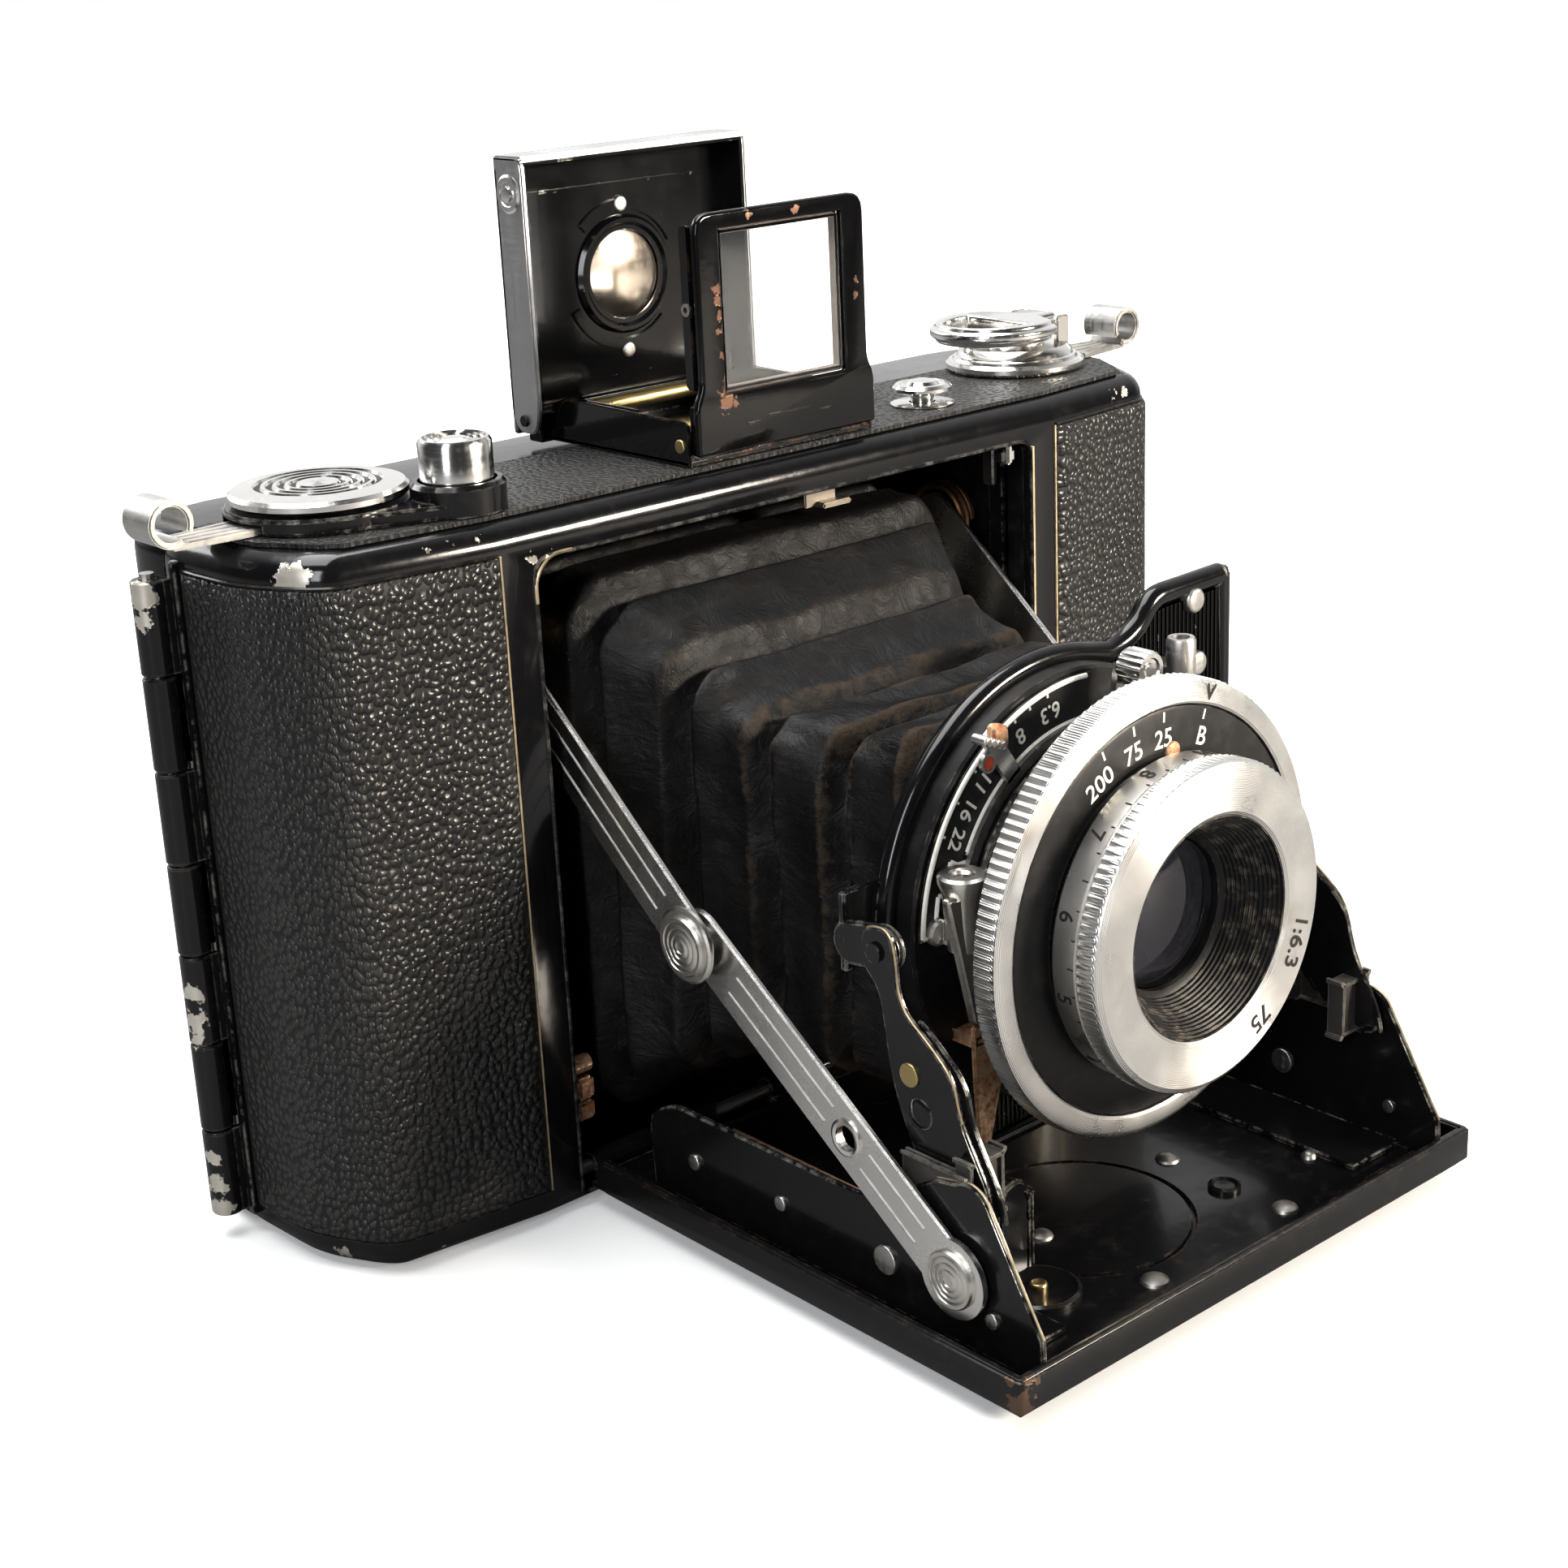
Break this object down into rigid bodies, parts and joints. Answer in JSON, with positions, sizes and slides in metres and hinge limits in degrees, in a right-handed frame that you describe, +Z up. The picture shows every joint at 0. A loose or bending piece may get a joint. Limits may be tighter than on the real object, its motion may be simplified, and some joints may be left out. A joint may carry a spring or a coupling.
{
  "type": "folding camera",
  "caption": "Folding roll-film camera with a drop bed, bellows, self-erecting lens standard, chrome side braces and a folding optical finder.",
  "frame": {"origin": "on the flat underside of the body, midway between its ends and midway between its front and back faces", "axes": "+Z up through the body's height, -Y is the way the lens looks, +X is to the right of somebody who faces the lens"},
  "size_m": [0.1552, 0.1132, 0.119],
  "materials": {
    "enamel": "glossy black enamel with worn bright edges",
    "leather": "black pebbled leatherette, satin",
    "chrome": "polished nickel chrome with fine scratches",
    "nickel": "satin nickel, tarnished",
    "aluminium": "satin turned aluminium",
    "steel": "plain spring steel",
    "brass": "tarnished brass",
    "dial_black": "black anodised metal, satin",
    "bellows": "black leathercloth, worn brown at the folds",
    "glass": "clear coated glass",
    "red_glass": "red film-counter window",
    "wood": "turned wooden spool core, dark stained"
  },
  "bodies": {
    "root": {"body_shell": "enamel", "leather_left": "leather", "leather_right": "leather", "leather_top": "leather", "film_gate": "dial_black", "bellows": "bellows", "release_housing": "enamel", "strap_lug_left": "nickel", "strap_lug_right": "nickel", "bed_hinge_pin": "steel", "back_hinge_pin": "steel", "tripod_bush": "brass", "finder_base": "enamel", "finder_rear_pin": "brass", "finder_front_pin": "brass", "brace_spring_left": "brass", "brace_spring_right": "brass"},
    "back": {"back_door": "enamel", "leather_back": "leather", "red_window": "red_glass", "pressure_plate": "steel"},
    "window_cover": {"window_cover": "nickel"},
    "back_latch": {"back_latch": "chrome"},
    "winding_knob": {"winding_knob": "chrome"},
    "winding_key": {"winding_key": "chrome"},
    "takeup_spool": {"takeup_spool": "dial_black"},
    "supply_spool": {"supply_spool": "wood"},
    "supply_knob": {"supply_knob": "chrome"},
    "release_plunger": {"release_plunger": "chrome"},
    "door_button": {"door_button": "chrome"},
    "bed": {"bed_plate": "enamel", "leather_bed": "leather", "bed_bracket_left": "enamel", "bed_bracket_right": "enamel"},
    "bed_foot": {"bed_foot": "nickel"},
    "lower_braces": {"brace_lower_left": "chrome", "brace_lower_right": "chrome", "knee_rivet_left": "chrome", "knee_rivet_right": "chrome"},
    "upper_braces": {"brace_upper_left": "chrome", "brace_upper_right": "chrome"},
    "swing_arms": {"swing_arm_left": "enamel", "swing_arm_right": "enamel"},
    "standard": {"standard_plate": "enamel", "rear_lens_cell": "dial_black", "shutter_case": "dial_black", "aperture_scale": "dial_black", "cable_socket": "nickel", "speed_dial": "dial_black"},
    "speed_ring": {"speed_ring": "aluminium"},
    "focus": {"focus_ring": "aluminium", "lens_cone": "dial_black", "front_glass": "glass"},
    "aperture_lever": {"aperture_lever": "nickel"},
    "release_lever": {"release_lever": "chrome"},
    "finder_front": {"finder_front_frame": "enamel", "finder_front_glass": "glass"},
    "finder_rear": {"finder_rear_cover": "nickel", "eyepiece_lens": "glass"}
  },
  "joints": [
    {"name": "bed_hinge", "type": "hinge", "parent": "root", "child": "bed", "pos_m": [0, -0.0182, 0.0039], "axis": [-1, 0, 0], "range_deg": [0, 90], "deforming": ["bellows"]},
    {"name": "standard_arm_hinge", "type": "hinge", "parent": "bed", "child": "swing_arms", "pos_m": [0, -0.0791, 0.0193], "axis": [-1, 0, 0], "range_deg": [0, 54]},
    {"name": "standard_hinge", "type": "hinge", "parent": "swing_arms", "child": "standard", "pos_m": [0, -0.0651, 0.04355], "axis": [-1, 0, 0], "range_deg": [-144, 0]},
    {"name": "lower_brace_hinge", "type": "hinge", "parent": "bed", "child": "lower_braces", "pos_m": [0, -0.078, 0.0118], "axis": [-1, 0, 0], "range_deg": [0, 30]},
    {"name": "brace_knee", "type": "hinge", "parent": "lower_braces", "child": "upper_braces", "pos_m": [0, -0.0398, 0.0386], "axis": [-1, 0, 0], "range_deg": [-170, 0]},
    {"name": "back_door_hinge", "type": "hinge", "parent": "root", "child": "back", "pos_m": [-0.0726, 0.0056, 0.042], "axis": [0, 0, 1], "range_deg": [0, 120]},
    {"name": "back_latch_hinge", "type": "hinge", "parent": "root", "child": "back_latch", "pos_m": [0.0708, 0.0142, 0.041], "axis": [0, 0, 1], "range_deg": [0, 35]},
    {"name": "window_cover_slide", "type": "slide", "parent": "back", "child": "window_cover", "axis": [-1, 0, 0], "range_m": [0, 0.0115]},
    {"name": "winding_turn", "type": "hinge", "parent": "root", "child": "winding_knob", "pos_m": [0.055, -0.0025, 0.087], "axis": [0, 0, 1], "continuous": true},
    {"name": "winding_key_flip", "type": "hinge", "parent": "winding_knob", "child": "winding_key", "pos_m": [0.06, -0.0025, 0.0903], "axis": [0, 1, 0], "range_deg": [0, 90]},
    {"name": "takeup_spool_turn", "type": "hinge", "parent": "root", "child": "takeup_spool", "pos_m": [0.055, -0.0025, 0.041], "axis": [0, 0, 1], "continuous": true},
    {"name": "supply_spool_turn", "type": "hinge", "parent": "root", "child": "supply_spool", "pos_m": [-0.055, -0.0025, 0.041], "axis": [0, 0, 1], "continuous": true},
    {"name": "supply_knob_lift", "type": "slide", "parent": "root", "child": "supply_knob", "axis": [0, 0, 1], "range_m": [0, 0.005], "stiffness_N_per_m": 60, "springref_m": -0.002},
    {"name": "release_press", "type": "slide", "parent": "root", "child": "release_plunger", "axis": [0, 0, -1], "range_m": [0, 0.002], "stiffness_N_per_m": 120, "springref_m": -0.0015},
    {"name": "door_button_press", "type": "slide", "parent": "root", "child": "door_button", "axis": [0, 0, -1], "range_m": [0, 0.0012], "stiffness_N_per_m": 200, "springref_m": -0.001},
    {"name": "bed_foot_hinge", "type": "hinge", "parent": "bed", "child": "bed_foot", "pos_m": [0, -0.0844, 0.0007], "axis": [-1, 0, 0], "range_deg": [0, 90]},
    {"name": "speed_ring_turn", "type": "hinge", "parent": "standard", "child": "speed_ring", "pos_m": [0, -0.0722, 0.041], "axis": [0, -1, 0], "range_deg": [0, 46]},
    {"name": "focus_turn", "type": "hinge", "parent": "standard", "child": "focus", "pos_m": [0, -0.076, 0.041], "axis": [0, -1, 0], "range_deg": [-90, 180]},
    {"name": "aperture_lever_swing", "type": "hinge", "parent": "standard", "child": "aperture_lever", "pos_m": [0, -0.064, 0.041], "axis": [0, -1, 0], "range_deg": [-24, 26]},
    {"name": "release_lever_swing", "type": "hinge", "parent": "standard", "child": "release_lever", "pos_m": [0, -0.066, 0.041], "axis": [0, 1, 0], "range_deg": [0, 18], "stiffness_Nm_per_rad": 0.02, "springref_deg": -11.46},
    {"name": "finder_front_fold", "type": "hinge", "parent": "root", "child": "finder_front", "pos_m": [0, -0.0156, 0.087], "axis": [-1, 0, 0], "range_deg": [0, 88]},
    {"name": "finder_rear_fold", "type": "hinge", "parent": "root", "child": "finder_rear", "pos_m": [0, 0.0105, 0.0875], "axis": [1, 0, 0], "range_deg": [0, 33]}
  ],
  "couplings": [
    {"joint": "standard_arm_hinge", "follows": "bed_hinge", "ratio": 0.6},
    {"joint": "standard_hinge", "follows": "bed_hinge", "ratio": -1.6},
    {"joint": "lower_brace_hinge", "follows": "bed_hinge", "ratio": 0.33333},
    {"joint": "brace_knee", "follows": "bed_hinge", "ratio": -1.8889},
    {"joint": "takeup_spool_turn", "follows": "winding_turn", "ratio": 1}
  ]
}
